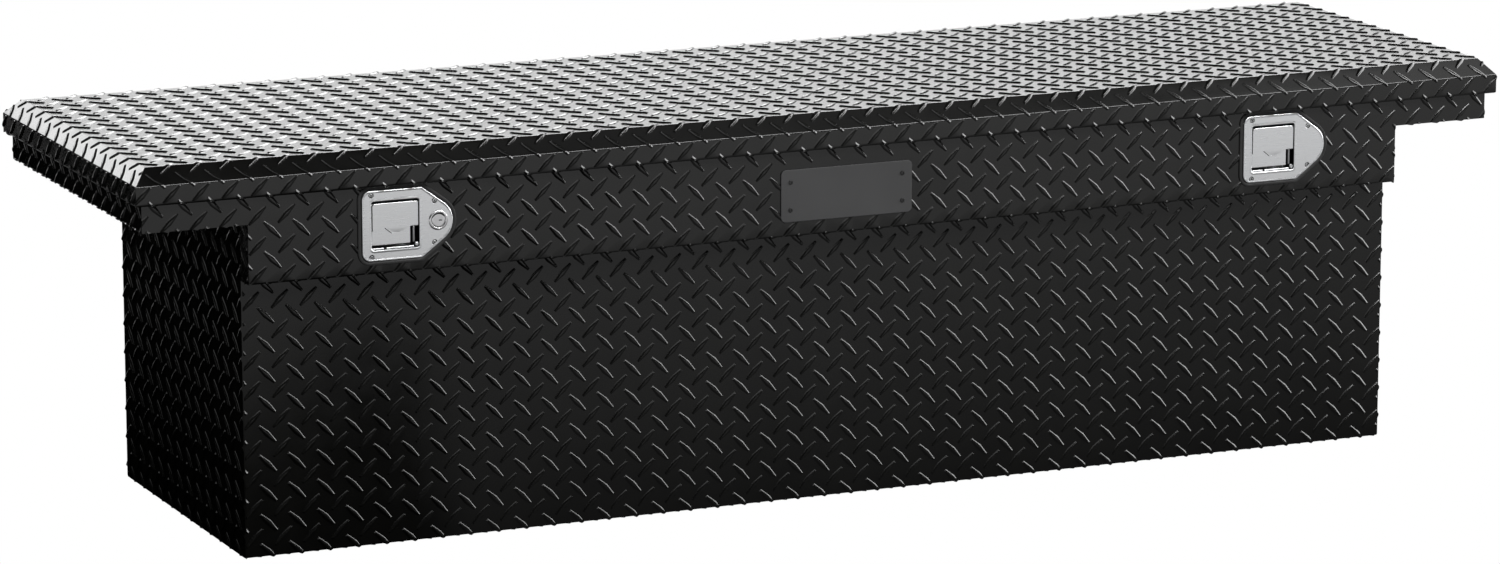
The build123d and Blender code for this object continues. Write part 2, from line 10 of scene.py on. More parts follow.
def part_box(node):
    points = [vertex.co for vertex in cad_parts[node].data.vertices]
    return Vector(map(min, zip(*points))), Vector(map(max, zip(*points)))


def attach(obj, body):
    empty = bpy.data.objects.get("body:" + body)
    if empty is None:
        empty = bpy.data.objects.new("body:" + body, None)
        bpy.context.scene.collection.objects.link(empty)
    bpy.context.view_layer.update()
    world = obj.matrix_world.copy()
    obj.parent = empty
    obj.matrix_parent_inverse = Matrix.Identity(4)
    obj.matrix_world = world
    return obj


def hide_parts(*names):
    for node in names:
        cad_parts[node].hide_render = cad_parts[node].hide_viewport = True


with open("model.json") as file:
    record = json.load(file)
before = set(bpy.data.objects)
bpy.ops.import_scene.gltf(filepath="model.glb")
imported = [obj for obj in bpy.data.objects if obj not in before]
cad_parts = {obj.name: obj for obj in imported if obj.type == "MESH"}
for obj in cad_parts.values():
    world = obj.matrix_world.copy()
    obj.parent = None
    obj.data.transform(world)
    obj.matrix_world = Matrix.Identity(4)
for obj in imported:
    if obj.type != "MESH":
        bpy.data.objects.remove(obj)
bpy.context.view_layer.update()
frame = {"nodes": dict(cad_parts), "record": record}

MM = 0.001
NODES = frame["nodes"]

# ---------------------------------------------------------------- sizes, in millimetres

SHEET = 1.6                 # tread plate gauge
LUG_HEIGHT = 1.6
LUG_PITCH = 35.15
LUG_MARGIN = 9.0            # lugs may be centred this far outside a pattern and still reach into it
# Each ring of a lug: half length, half width at its ends and in its middle, share of the height
LUG_RINGS = ((14.4, 1.6, 3.5, 0.0), (13.0, 0.1, 1.75, 0.88), (9.0, 0.08, 0.8, 1.0))
BEND_R = 2.6                # outer radius of the folds
BEND_STEPS = 4
HEM_RETURN = 6.0            # width of the strip turned in under the skirt
CUT_TOLERANCE = 1e-4        # points of a flat pattern closer than this are one point
SHARP_ANGLE = 28.0          # edges sharper than this, in degrees, aren't smoothed


def span(node, axis):
    """A node's low and high limit along X, Y or Z (0, 1, 2), in millimetres."""
    low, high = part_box(node)
    return low[axis] / MM, high[axis] / MM


LID_X = span("lid_skin", 0)[1]
LID_FRONT, LID_BACK = span("lid_skin", 1)
LID_HEM, LID_TOP = span("lid_skin", 2)
CHAMFER_DROP = 19.0
CHAMFER_END, CHAMFER_FRONT, CHAMFER_BACK = 17.0, 18.0, 24.5
LID_FOLD = LID_TOP - CHAMFER_DROP
TUB_X = span("right_end_wall", 0)[1]
TUB_FRONT, TUB_BACK = span("tub_shell", 1)
TUB_TOP = span("tub_shell", 2)[1]
WING_X = span("front_fascia", 0)[1]
WING_FLOOR = span("right_wing_pan", 2)[0]
FASCIA_FRONT, RIM_INNER_FRONT = span("front_fascia", 1)
APRON_BOTTOM, RIM_TOP = span("front_fascia", 2)
REAR_BACK = span("rear_rail", 1)[1]
RIM_INNER_BACK = 229.0
RIM_INNER_END = 858.0
FLOOR_BASE = LUG_HEIGHT     # the floor's lugs reach down to the ground, so its face is this far up

# Where the lattice of lugs starts: the centre of one left-leaning lug in X and in height
PHASE_X, PHASE_Z = LUG_PITCH / 2, 6.9
PHASE_Y = LUG_PITCH / 2     # the same on the ends, in Y


# ---------------------------------------------------------------- tread plate

class Chain:
    """A sheet's cross-section: straight runs and round bends, measured along its outer face."""

    def __init__(self, corners):
        points = [np.array(p, float) for p in corners]
        self.pieces = []
        self.breaks = []
        self.folds = []
        self.length = 0.0
        here = points[0]
        for index in range(1, len(points)):
            heading = points[index] - points[index - 1]
            heading /= np.linalg.norm(heading)
            if index == len(points) - 1:
                self._run(here, points[index], heading)
                break
            after = points[index + 1] - points[index]
            after /= np.linalg.norm(after)
            turn = math.acos(float(np.clip(heading @ after, -1, 1)))
            cut = BEND_R * math.tan(turn / 2)
            self._run(here, points[index] - heading * cut, heading)
            here = points[index] + after * cut
            self._bend(points[index] - heading * cut, heading, turn)

    def _run(self, a, b, heading):
        size = float(np.linalg.norm(b - a))
        self.pieces.append((self.length, self.length + size, a, heading, 0.0))
        self.length += size

    def _bend(self, a, heading, turn):
        size = BEND_R * turn
        self.pieces.append((self.length, self.length + size, a, heading, 1.0 / BEND_R))
        self.breaks += [self.length + size * k / BEND_STEPS for k in range(BEND_STEPS + 1)]
        self.folds.append(self.length + size / 2)
        self.length += size

    def at(self, v, h):
        """Points at distance v along the outer face and h above it."""
        out = np.zeros((len(v), 2))
        for low, high, a, heading, curve in self.pieces:
            inside = np.ones(len(v), bool)
            if low > self.pieces[0][0]:
                inside &= v >= low
            if high < self.pieces[-1][1]:
                inside &= v < high
            d = v[inside] - low
            normal = np.array([heading[1], -heading[0]])
            if curve:
                angle = d * curve
                centre = a - normal * BEND_R
                ray = normal[None] * np.cos(angle)[:, None] + heading[None] * np.sin(angle)[:, None]
                out[inside] = centre + ray * (BEND_R + h[inside])[:, None]
            else:
                out[inside] = a + heading[None] * d[:, None] + normal[None] * h[inside][:, None]
        return out


def nearest_lug(u, v, u0, v0):
    """Each point's place along and across the nearest lug, and that lug's centre."""
    best = np.full(len(u), 1e9)
    along, across = np.zeros(len(u)), np.zeros(len(u))
    centre = np.zeros((len(u), 2))
    for slant, shift in ((-1, 0.0), (1, LUG_PITCH / 2)):
        cu = u0 + shift + np.round((u - u0 - shift) / LUG_PITCH) * LUG_PITCH
        cv = v0 + shift + np.round((v - v0 - shift) / LUG_PITCH) * LUG_PITCH
        du, dv = u - cu, v - cv
        a, b = np.abs(du - slant * dv) / math.sqrt(2), np.abs(du + slant * dv) / math.sqrt(2)
        outside = beyond(LUG_RINGS[0], a, b)
        better = outside < best
        best[better], along[better], across[better] = outside[better], a[better], b[better]
        centre[better] = np.stack([cu, cv], 1)[better]
    return along, across, centre


def beyond(ring, a, b):
    """Distance outside a lug's ring, negative inside it."""
    length, end, middle, _ = ring
    slope = math.hypot(length, middle - end)
    return np.maximum(a - length, (a * (middle - end) + (b - middle) * length) / slope)


def lug_height(u, v, u0, v0, zone):
    """Height of the tread at each point, in millimetres."""
    a, b, centre = nearest_lug(u, v, u0, v0)
    outside = [beyond(ring, a, b) for ring in LUG_RINGS]
    share = np.zeros(len(u))
    for k in range(len(LUG_RINGS) - 1):
        from_ring, to_next = np.maximum(-outside[k], 0.0), np.maximum(outside[k + 1], 0.0)
        part = from_ring / np.maximum(from_ring + to_next, 1e-9)
        low, high = LUG_RINGS[k][3], LUG_RINGS[k + 1][3]
        share = np.where(outside[k] < -1e-4, low + (high - low) * part, share)
    if zone is not None:
        share[~zone(centre[:, 0], centre[:, 1])] = 0.0
    return share * LUG_HEIGHT


def inside_polygon(points, polygon):
    """Even-odd test of many points against one polygon."""
    inside = np.zeros(len(points), bool)
    x, y = points[:, 0], points[:, 1]
    for (ax, ay), (bx, by) in zip(polygon, polygon[1:] + polygon[:1]):
        crosses = (ay > y) != (by > y)
        with np.errstate(divide="ignore", invalid="ignore"):
            at = ax + (y - ay) * (bx - ax) / (by - ay)
        inside ^= crosses & (x < at)
    return inside


def cut_plan(outline, holes, lines, lugs):
    """Triangulate the flat pattern, with the outline, holes, fold lines and lugs as edges."""
    points, edges = [], []

    def loop(ring):
        first = len(points)
        points.extend(ring)
        edges.extend((first + k, first + (k + 1) % len(ring)) for k in range(len(ring)))

    loop(outline)
    for hole in holes:
        loop(hole)
    for a, b in lines:
        points.extend((a, b))
        edges.append((len(points) - 2, len(points) - 1))
    for ring in lugs:
        loop(ring)
    made = delaunay_2d_cdt([Vector(p) for p in points], edges, [], 0, CUT_TOLERANCE, False)
    return in_pattern(made, outline, holes)


def in_pattern(made, outline, holes):
    """Points of a triangulation, and its triangles that lie inside the outline and outside the holes."""
    spots = np.array([(p.x, p.y) for p in made[0]])
    tris = np.array([f for f in made[2] if len(f) == 3])
    middle = spots[tris].mean(1)
    keep = inside_polygon(middle, list(outline))
    for hole in holes:
        keep &= ~inside_polygon(middle, list(hole))
    return spots, tris[keep]


def lug_rings(outline, u0, v0, zone):
    """The rings of every lug that reaches into the pattern."""
    low, high = np.min(outline, 0), np.max(outline, 0)
    rings = []
    for slant, shift in ((-1, 0.0), (1, LUG_PITCH / 2)):
        spans = []
        for k, start in ((0, u0 + shift), (1, v0 + shift)):
            first = math.ceil((low[k] - LUG_MARGIN - start) / LUG_PITCH)
            last = math.floor((high[k] + LUG_MARGIN - start) / LUG_PITCH)
            spans.append([start + n * LUG_PITCH for n in range(first, last + 1)])
        for cu in spans[0]:
            for cv in spans[1]:
                if zone is not None and not zone(np.array([cu]), np.array([cv]))[0]:
                    continue
                for a, end, b, _ in LUG_RINGS:
                    corners = ((a, end), (0, b), (-a, end), (-a, -end), (0, -b), (a, -end))
                    ring = [(cu + (s + t) / math.sqrt(2), cv + slant * (t - s) / math.sqrt(2))
                            for s, t in corners]
                    if inside_polygon(np.array(ring), list(outline)).any():
                        rings.append(ring)
    return rings


def tread_sheet(outline, chain, place, phase, zone=None, holes=()):
    """A closed sheet with lugs on its outer face: (vertices, faces) in metres."""
    u0, v0 = phase
    left, right = np.min(outline, 0)[0] - 5, np.max(outline, 0)[0] + 5      # a little past the outline
    lines = [((left, v), (right, v)) for v in chain.breaks]
    spots, tris = cut_plan(outline, holes, lines, lug_rings(outline, u0, v0, zone))
    h = lug_height(spots[:, 0], spots[:, 1], u0, v0, zone)
    used = np.unique(tris)
    index = np.full(len(spots), -1)
    index[used] = np.arange(len(used))
    spots, h, tris = spots[used], h[used], index[tris]

    # Boundary edges of the outer face, in the direction their triangle runs; a dict keeps their order
    directed = dict.fromkeys((int(p), int(q)) for a, b, c in tris for p, q in ((a, b), (b, c), (c, a)))
    rim = [(p, q) for p, q in directed if (q, p) not in directed]

    # The inner face has the same boundary and folds, and no lugs
    rim_ids = sorted({p for edge in rim for p in edge})
    to_back = {p: k for k, p in enumerate(rim_ids)}
    points = [Vector(spots[p]) for p in rim_ids]
    edges = [(to_back[p], to_back[q]) for p, q in rim]
    first = len(points)
    for a, b in lines:
        points.extend((Vector(a), Vector(b)))
        edges.append((len(points) - 2, len(points) - 1))
    made = delaunay_2d_cdt(points, edges, [], 0, CUT_TOLERANCE, True)
    back, back_tris = in_pattern(made, outline, holes)
    match = {}
    for k, origins in enumerate(made[3]):
        for origin in origins:
            if origin < first:
                match[origin] = k
    count = len(spots)
    verts = np.concatenate([
        place(chain, spots[:, 0], spots[:, 1], h),
        place(chain, back[:, 0], back[:, 1], np.full(len(back), -SHEET)),
    ])
    faces = [tuple(map(int, t)) for t in tris]
    faces += [(int(c) + count, int(b) + count, int(a) + count) for a, b, c in back_tris]
    for p, q in rim:
        bp, bq = match[to_back[p]] + count, match[to_back[q]] + count
        if bp != bq:
            faces.append((q, p, bp, bq))
    return verts * MM, faces


def across_x(chain, u, v, h):
    """Chain drawn in (y, z), sheet running along X."""
    yz = chain.at(v, h)
    return np.stack([u, yz[:, 0], yz[:, 1]], 1)


def across_y(sign):
    """Chain drawn in (x, z) on the right side, sheet running along Y; sign -1 mirrors it."""
    def place(chain, u, v, h):
        xz = chain.at(v, h)
        return np.stack([sign * xz[:, 0], u, xz[:, 1]], 1)
    return place


def make_object(name, parts, material, sharp_angle):
    """One object from several (vertices, faces) parts."""
    mesh = bpy.data.meshes.new(name)
    verts = np.concatenate([v for v, _ in parts])
    faces, base = [], 0
    for v, f in parts:
        faces += [tuple(k + base for k in face) for face in f]
        base += len(v)
    mesh.from_pydata(verts.tolist(), [], faces)
    mesh.validate()
    bm = bmesh.new()
    bm.from_mesh(mesh)
    same_point = 1e-7           # metres
    bmesh.ops.remove_doubles(bm, verts=bm.verts, dist=same_point)
    bmesh.ops.dissolve_degenerate(bm, dist=same_point, edges=bm.edges)
    loose = [v for v in bm.verts if not v.link_faces]
    bmesh.ops.delete(bm, geom=loose, context="VERTS")
    bmesh.ops.recalc_face_normals(bm, faces=bm.faces)
    bm.to_mesh(mesh)
    bm.free()
    mesh.polygons.foreach_set("use_smooth", [True] * len(mesh.polygons))
    mesh.set_sharp_from_angle(angle=math.radians(sharp_angle))
    mesh.materials.append(material)
    piece = bpy.data.objects.new(name, mesh)
    bpy.context.scene.collection.objects.link(piece)
    return piece


def add_piece(name, parts, material, body, node, sharp_angle=SHARP_ANGLE):
    """Make one object that rides on a body and stands for a CAD node."""
    piece = make_object(name, parts, material, sharp_angle)
    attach(piece, body)
    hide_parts(node)


# ---------------------------------------------------------------- materials

NOISE_LOW, NOISE_HIGH = 0.3, 0.7    # where most of a noise texture's values lie
COAT_IOR = 1.5
PAINTED_DEEP_SHADE = 0.12                   # painted shade: share of its colour that steel keeps deep in a dish


def new_material(name):
    """A material with its nodes, its links and its shader."""
    material = bpy.data.materials.new(name)
    material.use_nodes = True
    tree = material.node_tree
    return material, tree.nodes, tree.links, tree.nodes["Principled BSDF"]


def noise(nodes, links, scale, detail=3.0, stretch=None):
    """Noise in object space; stretch scales the axes, for grain."""
    where = nodes.new("ShaderNodeTexCoord")
    texture = nodes.new("ShaderNodeTexNoise")
    texture.inputs["Scale"].default_value = scale
    texture.inputs["Detail"].default_value = detail
    if stretch:
        mapping = nodes.new("ShaderNodeMapping")
        mapping.inputs["Scale"].default_value = stretch
        links.new(where.outputs["Object"], mapping.inputs["Vector"])
        links.new(mapping.outputs["Vector"], texture.inputs["Vector"])
    else:
        links.new(where.outputs["Object"], texture.inputs["Vector"])
    return texture.outputs["Fac"]


def spread(nodes, links, value, low, high, bottom=NOISE_LOW, top=NOISE_HIGH):
    """Map a value that runs from bottom to top to the range from low to high."""
    ramp = nodes.new("ShaderNodeMapRange")
    ramp.inputs["From Min"].default_value = bottom
    ramp.inputs["From Max"].default_value = top
    ramp.inputs["To Min"].default_value = low
    ramp.inputs["To Max"].default_value = high
    links.new(value, ramp.inputs["Value"])
    return ramp.outputs["Result"]


def tint(nodes, links, value, dark, light):
    """Colour between dark and light, by a noise value."""
    ramp = nodes.new("ShaderNodeValToRGB")
    ramp.color_ramp.elements[0].position = NOISE_LOW
    ramp.color_ramp.elements[1].position = NOISE_HIGH
    ramp.color_ramp.elements[0].color = (*dark, 1)
    ramp.color_ramp.elements[1].color = (*light, 1)
    links.new(value, ramp.inputs["Fac"])
    return ramp.outputs["Color"]


def bump(nodes, links, value, shader, distance):
    """Fine surface grain of the given depth, in metres."""
    node = nodes.new("ShaderNodeBump")
    node.inputs["Distance"].default_value = distance
    node.inputs["Strength"].default_value = 1.0
    links.new(value, node.inputs["Height"])
    links.new(node.outputs["Normal"], shader.inputs["Normal"])


def coated(name, dark, light, rough, grain=900.0, height=0.00003):
    """Powder-coated or painted metal: orange-peel grain and slow change of gloss."""
    material, nodes, links, shader = new_material(name)
    shader.inputs["IOR"].default_value = COAT_IOR
    links.new(tint(nodes, links, noise(nodes, links, 9.0), dark, light), shader.inputs["Base Color"])
    links.new(spread(nodes, links, noise(nodes, links, 30.0), *rough), shader.inputs["Roughness"])
    bump(nodes, links, noise(nodes, links, grain, 2.0), shader, height)
    return material


def bare_metal(name, dark, light, rough, stretch, painted_shade_y=None):
    """Brushed or plated metal; stretch scales its grain. Given a Y range, its colour turns dark over that
    range towards the deep end: painted shade for recesses and edges.
    """
    material, nodes, links, shader = new_material(name)
    shader.inputs["Metallic"].default_value = 1.0
    grain = noise(nodes, links, 40.0, 4.0, stretch)
    colour = tint(nodes, links, grain, dark, light)
    # Painted shade: the colour is scaled down with depth in Y, so deep surfaces look shaded
    if painted_shade_y:
        where, axes = nodes.new("ShaderNodeTexCoord"), nodes.new("ShaderNodeSeparateXYZ")
        links.new(where.outputs["Object"], axes.inputs["Vector"])
        depth = spread(nodes, links, axes.outputs["Y"], 1.0, PAINTED_DEEP_SHADE, *painted_shade_y)
        scaled = nodes.new("ShaderNodeVectorMath")
        scaled.operation = "SCALE"
        links.new(colour, scaled.inputs["Vector"])
        links.new(depth, scaled.inputs["Scale"])
        colour = scaled.outputs["Vector"]
    links.new(colour, shader.inputs["Base Color"])
    links.new(spread(nodes, links, grain, *rough), shader.inputs["Roughness"])
    bump(nodes, links, grain, shader, 0.00001)
    return material


def soft(name, dark, light, rough, grain, height):
    """Rubber, foam and plastic."""
    material, nodes, links, shader = new_material(name)
    links.new(tint(nodes, links, noise(nodes, links, 25.0), dark, light), shader.inputs["Base Color"])
    links.new(spread(nodes, links, noise(nodes, links, 60.0), *rough), shader.inputs["Roughness"])
    bump(nodes, links, noise(nodes, links, grain, 3.0), shader, height)
    return material


BLACK = ((0.003, 0.003, 0.0028), (0.005, 0.005, 0.0046))
STEEL = ((0.84, 0.85, 0.87), (0.94, 0.95, 0.96))
BRUSHED, EVEN, FINE = (1.0, 30.0, 30.0), (8.0, 8.0, 8.0), (3.0, 3.0, 3.0)       # grain along each axis
BLACK_COAT = coated("black_coat", *BLACK, (0.14, 0.2), height=0.000008)
END_COAT = coated("end_coat", *BLACK, (0.05, 0.08), height=0.000004)
INNER_COAT = coated("inner_coat", (0.02, 0.02, 0.02), (0.03, 0.03, 0.03), (0.38, 0.5))
PLATE_GREY = coated("name_plate_grey", (0.043, 0.043, 0.044), (0.053, 0.053, 0.054), (0.42, 0.5), 500.0)
HINGE_BLACK = coated("hinge_black", (0.018, 0.018, 0.018), (0.028, 0.028, 0.028), (0.32, 0.42))
STRUT_BLACK = coated("strut_enamel", (0.012, 0.012, 0.012), (0.018, 0.018, 0.018), (0.18, 0.26))
STAINLESS = bare_metal("stainless", *STEEL, (0.26, 0.38), BRUSHED)
# Painted shade on the latch plates: dark deep in the dish, in the screw dimples and along the back edge
LATCH_STEEL_PAINTED_SHADE = bare_metal("latch_steel_painted_shade", *STEEL, (0.26, 0.36), BRUSHED, (-0.2454, -0.2446))
# Painted shade on the paddles: the rolled edges, back, ears and tail go dark
PADDLE_STEEL_PAINTED_SHADE = bare_metal("paddle_steel_painted_shade", *STEEL, (0.26, 0.36), BRUSHED, (-0.24558, -0.2449))
# Painted shade on the screws: the lower part of each head goes dark in its dimple
SCREW_STEEL_PAINTED_SHADE = bare_metal(
    "screw_steel_painted_shade", (0.7, 0.71, 0.72), (0.82, 0.83, 0.84), (0.2, 0.3), EVEN, (-0.2454, -0.2449))
ZINC = bare_metal("zinc_plate", (0.42, 0.43, 0.43), (0.62, 0.62, 0.6), (0.28, 0.45), EVEN)
CHROME = bare_metal("chrome", (0.62, 0.62, 0.63), (0.72, 0.72, 0.73), (0.06, 0.14), FINE)
RUBBER = soft("rubber", (0.01, 0.01, 0.01), (0.02, 0.02, 0.02), (0.5, 0.7), 1200.0, 0.00004)
FOAM = soft("foam", (0.6, 0.55, 0.4), (0.75, 0.7, 0.55), (0.8, 0.95), 500.0, 0.0006)

BY_SLOT = {
    "black_tread": BLACK_COAT, "black_inner": INNER_COAT, "stainless": STAINLESS, "zinc_steel": ZINC,
    "hinge_black": HINGE_BLACK, "rubber": RUBBER, "foam": FOAM, "plate_grey": PLATE_GREY,
    "lock_chrome": CHROME, "strut_black": STRUT_BLACK, "strut_chrome": CHROME,
}
for part in frame["record"]["subparts"]:
    mesh = NODES[part["node"]].data
    mesh.materials.clear()
    mesh.materials.append(BY_SLOT[part["material_slot"]])


# ---------------------------------------------------------------- lid

def lid_skin():
    """Top with its four sloping sides, and skirts with a hem turned in along the front and the ends."""
    chain = Chain([
        (LID_BACK, LID_HEM), (LID_BACK, LID_FOLD), (LID_BACK - CHAMFER_BACK, LID_TOP),
        (LID_FRONT + CHAMFER_FRONT, LID_TOP), (LID_FRONT, LID_FOLD), (LID_FRONT, LID_HEM),
        (LID_FRONT + HEM_RETURN, LID_HEM),
    ])
    v1, v2, v3, v4, v5 = chain.folds
    half, top_half, hem_half = LID_X, LID_X - CHAMFER_END, LID_X - HEM_RETURN
    outline = [
        (-half, 0.0), (half, 0.0), (half, v1), (top_half, v2), (top_half, v3), (half, v4), (half, v5),
        (hem_half, chain.length), (-hem_half, chain.length),
        (-half, v5), (-half, v4), (-top_half, v3), (-top_half, v2), (-half, v1),
    ]
    phase_v = v5 + LID_HEM - PHASE_Z

    def zone(u, v):
        """Plain behind the front hem's fold."""
        return v < v5 + 8

    parts = [tread_sheet(outline, chain, across_x, (PHASE_X, phase_v), zone)]
    side = Chain([
        (LID_X - HEM_RETURN, LID_HEM), (LID_X, LID_HEM), (LID_X, LID_FOLD), (LID_X - CHAMFER_END, LID_TOP)])
    hem, fold = side.folds
    front, back = LID_FRONT + 0.3, LID_BACK - 0.3
    run = [
        (front + HEM_RETURN, 0.0), (back, 0.0), (back, fold), (back - CHAMFER_BACK, side.length),
        (front + CHAMFER_FRONT, side.length), (front, fold), (front, hem),
    ]
    for sign in (-1, 1):
        parts.append(tread_sheet(run, side, across_y(sign), (PHASE_Y, PHASE_Z - LID_HEM + hem)))
    add_piece("lid_tread_skin", parts, BLACK_COAT, "lid", "lid_skin")


# ---------------------------------------------------------------- body

def tub_wrap():
    """Front wall, floor and back wall in one folded sheet."""
    chain = Chain([
        (TUB_FRONT, TUB_TOP), (TUB_FRONT, FLOOR_BASE), (TUB_BACK, FLOOR_BASE), (TUB_BACK, WING_FLOOR)])
    half = TUB_X - SHEET
    outline = [(-half, 0.0), (half, 0.0), (half, chain.length), (-half, chain.length)]
    hidden = TUB_TOP - APRON_BOTTOM - 12

    def zone(u, v):
        """Plain behind the apron."""
        return v > hidden

    part = tread_sheet(outline, chain, across_x, (PHASE_X, TUB_TOP - PHASE_Z), zone)
    add_piece("tub_tread_wrap", [part], BLACK_COAT, "box", "tub_shell")


def flat_chain(x, low, high):
    """The cross-section of an upright flat sheet."""
    return Chain([(x, low), (x, high)])


def end_walls():
    """Flat ends of the tub, their lower corners rounded to its folds."""
    for side, sign in (("left", -1), ("right", 1)):
        chain = flat_chain(TUB_X, FLOOR_BASE, WING_FLOOR + SHEET)
        corner = 3.2
        low = [(TUB_FRONT + corner * (1 - math.sin(a)), corner * (1 - math.cos(a)))
               for a in np.linspace(math.pi / 2, 0, 5)]
        high = [(TUB_BACK - corner * (1 - math.sin(a)), corner * (1 - math.cos(a)))
                for a in np.linspace(0, math.pi / 2, 5)]
        outline = low + high + [(TUB_BACK, chain.length), (TUB_FRONT, chain.length)]
        part = tread_sheet(outline, chain, across_y(sign), (PHASE_Y, PHASE_Z - FLOOR_BASE))
        add_piece(f"{side}_end_tread", [part], END_COAT, "box", f"{side}_end_wall")


def rect(x, z, half_width, half_height):
    """Corners of a rectangle, counter-clockwise."""
    return [(x - half_width, z - half_height), (x + half_width, z - half_height),
            (x + half_width, z + half_height), (x - half_width, z + half_height)]


def latch_centre(side):
    """Middle of a latch's dish, from its paddle."""
    x = span(f"{side}_paddle", 0)
    return sum(x) / 2, LATCH_Z


LATCH_Z = 387.6
OPENING_LEFT, OPENING_RIGHT, OPENING_HALF_HEIGHT = -33.5, 38.0, 32.9   # hole behind a latch, from its dish
LOCK_HOLE_R = 10.3
RIM_SLOT = (0.3, 15.1, 22.0)        # near and far edge ahead of the tub's front, and half length
COVER_MARGIN = 3.0                  # the sheet is plain this far round a latch plate


def fascia():
    """Tray front and apron, with the rim above and the return below."""
    chain = Chain([
        (RIM_INNER_FRONT, RIM_TOP), (FASCIA_FRONT, RIM_TOP), (FASCIA_FRONT, APRON_BOTTOM),
        (TUB_FRONT - 1.5, APRON_BOTTOM)])
    flange = (RIM_INNER_FRONT - FASCIA_FRONT) - 2 * BEND_R + BEND_R * math.pi / 2
    to_v = flange + RIM_TOP

    def down(z):
        """Place along the sheet of a height on its front face."""
        return to_v - z

    wing_end = down(WING_FLOOR)
    outline = [
        (-WING_X, 0.0), (WING_X, 0.0), (WING_X, wing_end), (TUB_X, wing_end),
        (TUB_X, chain.length), (-TUB_X, chain.length), (-TUB_X, wing_end), (-WING_X, wing_end),
    ]
    holes = []
    for side in ("left", "right"):
        x, z = latch_centre(side)
        middle = x + (OPENING_LEFT + OPENING_RIGHT) / 2
        holes.append(rect(middle, down(z), (OPENING_RIGHT - OPENING_LEFT) / 2, OPENING_HALF_HEIGHT))
        slot_low = RIM_INNER_FRONT - (TUB_FRONT - RIM_SLOT[0])
        slot_high = RIM_INNER_FRONT - (TUB_FRONT - RIM_SLOT[1])
        holes.append(rect(x, (slot_low + slot_high) / 2, RIM_SLOT[2], (slot_high - slot_low) / 2))
    lock = [sum(span("lock_cylinder", 0)) / 2, sum(span("lock_cylinder", 2)) / 2]
    holes.append([(lock[0] + LOCK_HOLE_R * math.cos(a), down(lock[1]) + LOCK_HOLE_R * math.sin(a))
                  for a in np.linspace(0, 2 * math.pi, 33)[:-1]])
    low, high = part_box("name_plate")
    covers = [[(low.x / MM, down(high.z / MM)), (high.x / MM, down(high.z / MM)),
               (high.x / MM, down(low.z / MM)), (low.x / MM, down(low.z / MM))]]
    for side in ("left", "right"):
        ring = rounded(moved(PLATE_CORNERS, latch_centre(side)[0], LATCH_Z), PLATE_RADII, -COVER_MARGIN)
        covers.append([(x, down(z)) for x, z in ring])

    def zone(u, v):
        """Plain under the rim, the latch plates and the name plate."""
        keep = v > down(RIM_TOP - 2)
        for cover in covers:
            keep &= ~inside_polygon(np.stack([u, v], 1), cover)
        return keep

    parts = [tread_sheet(outline, chain, across_x, (PHASE_X, down(PHASE_Z)), zone, holes)]
    for sign in (-1, 1):
        side_chain = flat_chain(TUB_X, APRON_BOTTOM + SHEET, WING_FLOOR)
        run = [(FASCIA_FRONT + SHEET + 0.2, 0.0), (TUB_FRONT - 0.2, 0.0),
               (TUB_FRONT - 0.2, side_chain.length), (FASCIA_FRONT + SHEET + 0.2, side_chain.length)]
        parts.append(tread_sheet(run, side_chain, across_y(sign), (PHASE_Y, PHASE_Z - APRON_BOTTOM)))
    add_piece("front_tread_fascia", parts, BLACK_COAT, "box", "front_fascia")


def rear_wall():
    """Upper back wall, with its step out over the bed rails and the rim above."""
    chain = Chain([
        (TUB_BACK, WING_FLOOR), (REAR_BACK, WING_FLOOR), (REAR_BACK, RIM_TOP), (RIM_INNER_BACK, RIM_TOP)])
    step = REAR_BACK - TUB_BACK
    tub = TUB_X - SHEET
    outline = [
        (-tub, 0.0), (tub, 0.0), (tub, step - 4), (WING_X, step - 4), (WING_X, chain.length),
        (-WING_X, chain.length), (-WING_X, step - 4), (-tub, step - 4),
    ]

    def zone(u, v):
        """Lugs on the step only: the wall lies against the hinge."""
        return v < 20.0

    part = tread_sheet(outline, chain, across_x, (PHASE_X, 5.0), zone)
    add_piece("rear_tread_rail", [part], BLACK_COAT, "box", "rear_rail")


def wing_pans():
    """Trays that rest on the bed rails, each with its end wall and rim."""
    for side, sign in (("left", -1), ("right", 1)):
        chain = Chain([
            (TUB_X, WING_FLOOR), (WING_X, WING_FLOOR), (WING_X, RIM_TOP), (RIM_INNER_END, RIM_TOP)])
        front, back = FASCIA_FRONT + SHEET + 0.2, REAR_BACK - SHEET - 0.2
        rim = chain.length - (WING_X - RIM_INNER_END) + 3.5
        outline = [
            (front, 0.0), (back, 0.0), (back, rim), (RIM_INNER_BACK, rim), (RIM_INNER_BACK, chain.length),
            (RIM_INNER_FRONT, chain.length), (RIM_INNER_FRONT, rim), (front, rim),
        ]
        lug_end = chain.length - (WING_X - RIM_INNER_END) - 6

        def zone(u, v):
            """Plain on the rim."""
            return v < lug_end

        part = tread_sheet(outline, chain, across_y(sign), (PHASE_Y, 12.0), zone)
        add_piece(f"{side}_wing_tread", [part], END_COAT, "box", f"{side}_wing_pan")


# ---------------------------------------------------------------- pressed and turned metal

